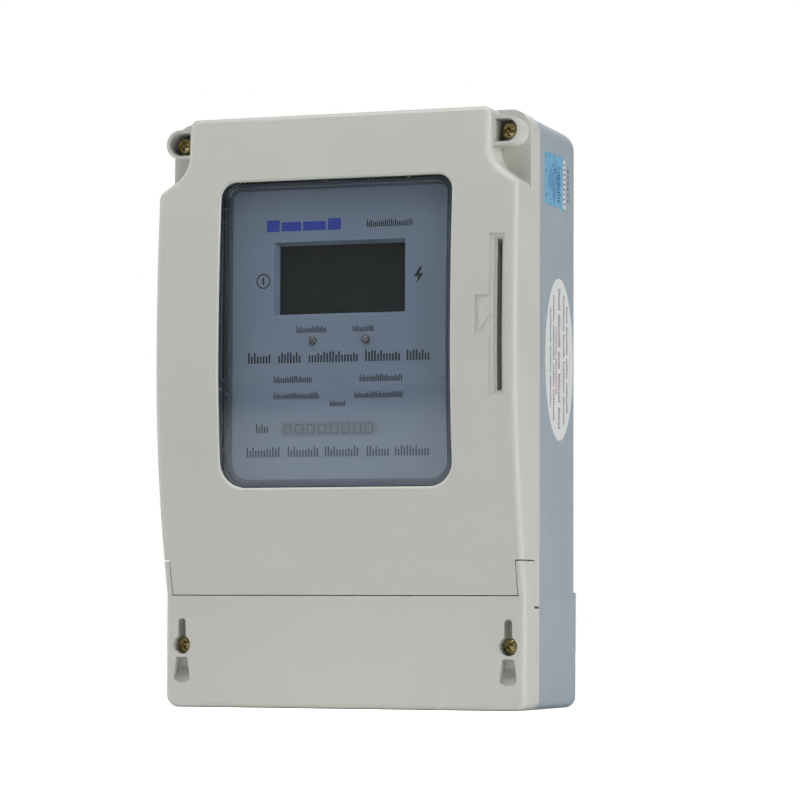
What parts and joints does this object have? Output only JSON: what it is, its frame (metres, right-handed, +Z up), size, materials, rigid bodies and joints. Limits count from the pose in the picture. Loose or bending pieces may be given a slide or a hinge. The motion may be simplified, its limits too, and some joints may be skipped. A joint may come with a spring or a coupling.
{
  "type": "prepaid electricity meter",
  "caption": "Wall-mounted three-phase prepaid electricity meter: bowed front cover with window, nameplate and display, side card slot, screwed terminal cover.",
  "frame": {"origin": "centre of the flat back face that lies on the wall, halfway up the meter", "axes": "+Z up, -Y out of the wall towards the reader, +X to the reader's right"},
  "size_m": [0.145, 0.076, 0.2246],
  "materials": {
    "cover_plastic": "fine moulded grain, pale warm grey",
    "base_plastic": "fine moulded grain, cooler grey",
    "clear_lens": "clear polished polycarbonate",
    "rubber": "soft matt foam rubber",
    "nameplate_print": "satin printed plate, blue grey",
    "display_panel": "dark liquid crystal panel",
    "light_guide": "milky diffuser",
    "red_lamp": "clear red resin",
    "yellow_zinc": "yellow zinc plating",
    "bright_steel": "bright zinc plating",
    "brass": "turned brass",
    "copper": "rolled copper, weighed as brass",
    "block_plastic": "glass filled black resin",
    "strip_plastic": "green connector resin",
    "relay_case": "satin black case",
    "coil_case": "blue potted case",
    "laminate": "green solder resist over glass laminate",
    "chip_black": "moulded epoxy",
    "tinned": "tinned metal",
    "battery_sleeve": "printed plain sleeve",
    "cream_resin": "moulded cream resin",
    "core_iron": "varnished laminations",
    "coil_tape": "yellow tape over copper turns",
    "capacitor_sleeve": "shrunk sleeve, bare top",
    "surge_blue": "dipped blue coating",
    "lead_black": "insulated lead",
    "lead_red": "insulated lead",
    "ribbon_grey": "flat ribbon",
    "socket_plastic": "grey guide resin",
    "lever_plastic": "slippery white resin",
    "label_paper": "white sticker film",
    "label_blue": "pale blue sticker film"
  },
  "bodies": {
    "base": {"base": "base_plastic", "cover_gasket": "rubber", "nameplate": "nameplate_print", "display_glass": "display_panel", "display_light_guide": "light_guide", "display_pins": "tinned", "warning_lamp": "red_lamp", "pulse_lamp": "red_lamp", "lamp_spacers": "cream_resin", "threaded_inserts": "brass", "terminal_block": "block_plastic", "brass_terminals": "brass", "terminal_clamp_screws": "bright_steel", "terminal_block_screws": "bright_steel", "pulse_terminal_strip": "strip_plastic", "pulse_terminal_screws": "bright_steel", "supply_busbars": "copper", "load_busbars": "copper", "neutral_link": "copper", "current_transformer_1": "coil_case", "current_transformer_2": "coil_case", "current_transformer_3": "coil_case", "phase_relay_1": "relay_case", "phase_relay_2": "relay_case", "phase_relay_3": "relay_case", "main_board": "laminate", "power_board": "laminate", "card_board": "laminate", "board_screws": "bright_steel", "nameplate_screws": "bright_steel", "microcontroller": "chip_black", "metering_chip": "chip_black", "crystal": "tinned", "buzzer": "chip_black", "battery": "battery_sleeve", "battery_holder": "cream_resin", "transformer_core": "core_iron", "transformer_coil": "coil_tape", "capacitors": "capacitor_sleeve", "surge_absorbers": "surge_blue", "small_chips": "chip_black", "link_connectors": "cream_resin", "link_ribbon": "ribbon_grey", "card_socket": "socket_plastic", "card_contacts": "brass", "transformer_leads": "lead_black", "voltage_leads": "lead_red", "relay_leads": "lead_black", "pulse_leads": "lead_red", "rating_label": "label_paper", "inspection_label": "label_blue"},
    "front_cover": {"front_cover": "cover_plastic", "window_lens": "clear_lens"},
    "terminal_cover": {"terminal_cover": "cover_plastic"},
    "cover_screw_left": {"cover_screw_left": "yellow_zinc"},
    "cover_screw_right": {"cover_screw_right": "yellow_zinc"},
    "terminal_cover_screw_left": {"terminal_cover_screw_left": "yellow_zinc"},
    "terminal_cover_screw_right": {"terminal_cover_screw_right": "yellow_zinc"},
    "hanger_hook": {"hanger_hook": "base_plastic"},
    "card_lever": {"card_lever": "lever_plastic"}
  },
  "joints": [
    {"name": "front_cover_lift_off", "type": "slide", "parent": "base", "child": "front_cover", "axis": [0, -1, 0], "range_m": [0, 0.09]},
    {"name": "terminal_cover_lift_off", "type": "slide", "parent": "front_cover", "child": "terminal_cover", "axis": [0, -1, 0], "range_m": [0, 0.09]},
    {"name": "cover_screw_left_turn", "type": "hinge", "parent": "front_cover", "child": "cover_screw_left", "pos_m": [-0.066, -0.062, 0.10335], "axis": [0, 1, 0], "continuous": true},
    {"name": "cover_screw_right_turn", "type": "hinge", "parent": "front_cover", "child": "cover_screw_right", "pos_m": [0.066, -0.062, 0.10335], "axis": [0, 1, 0], "continuous": true},
    {"name": "terminal_cover_screw_left_turn", "type": "hinge", "parent": "terminal_cover", "child": "terminal_cover_screw_left", "pos_m": [-0.0657, -0.058, -0.08845], "axis": [0, 1, 0], "continuous": true},
    {"name": "terminal_cover_screw_right_turn", "type": "hinge", "parent": "terminal_cover", "child": "terminal_cover_screw_right", "pos_m": [0.0657, -0.058, -0.08845], "axis": [0, 1, 0], "continuous": true},
    {"name": "hanger_hook_slide", "type": "slide", "parent": "base", "child": "hanger_hook", "axis": [0, 0, 1], "range_m": [0, 0.012]},
    {"name": "card_lever_turn", "type": "hinge", "parent": "base", "child": "card_lever", "pos_m": [0.0642, -0.028, 0.03375], "axis": [0, 0, 1], "range_deg": [0, 12], "stiffness_Nm_per_rad": 0.0005}
  ]
}
